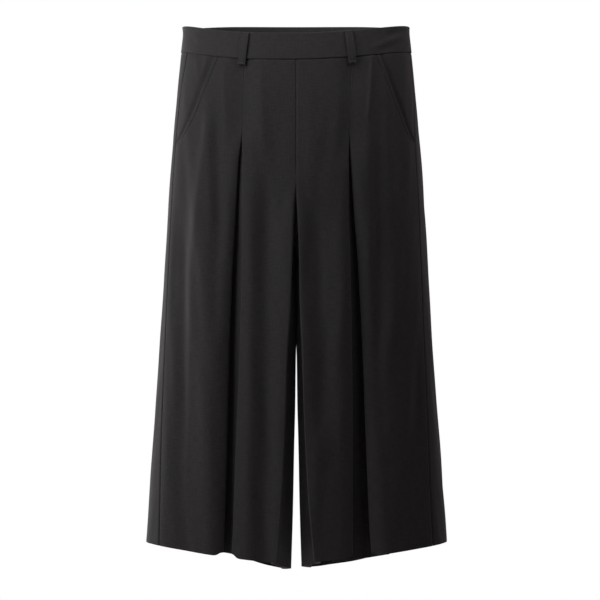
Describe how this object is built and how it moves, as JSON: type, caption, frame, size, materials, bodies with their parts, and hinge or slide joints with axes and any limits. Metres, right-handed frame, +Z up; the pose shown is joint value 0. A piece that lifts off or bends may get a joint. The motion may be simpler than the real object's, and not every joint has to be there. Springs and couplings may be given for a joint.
{
  "type": "pleated culottes",
  "caption": "Wide cropped culottes with a plain waistband, belt loops, slant pockets and an inverted pleat on each leg, open at the waist and hems.",
  "frame": {"origin": "middle of the waist opening, level with the band's upper edge at the side seams, where the wearer's waist holds the culottes", "axes": "+Z up, -Y is the front, +X to the right as the front is looked at"},
  "size_m": [0.4, 0.2339, 0.7285],
  "materials": {
    "suiting": "matt charcoal-black wool-look suiting with a fine twill and a faint nap",
    "band": "the same suiting, doubled and pressed firm"
  },
  "bodies": {
    "root": {"front_left": "suiting", "front_right": "suiting", "back_left": "suiting", "back_right": "suiting", "pocket_bearer_left": "suiting", "pocket_bearer_right": "suiting", "waistband_front": "band", "waistband_back": "band", "belt_loop_front_left": "band", "belt_loop_front_right": "band", "belt_loop_back_left": "band", "belt_loop_back_right": "band", "belt_loop_back_middle": "band"}
  },
  "joints": []
}
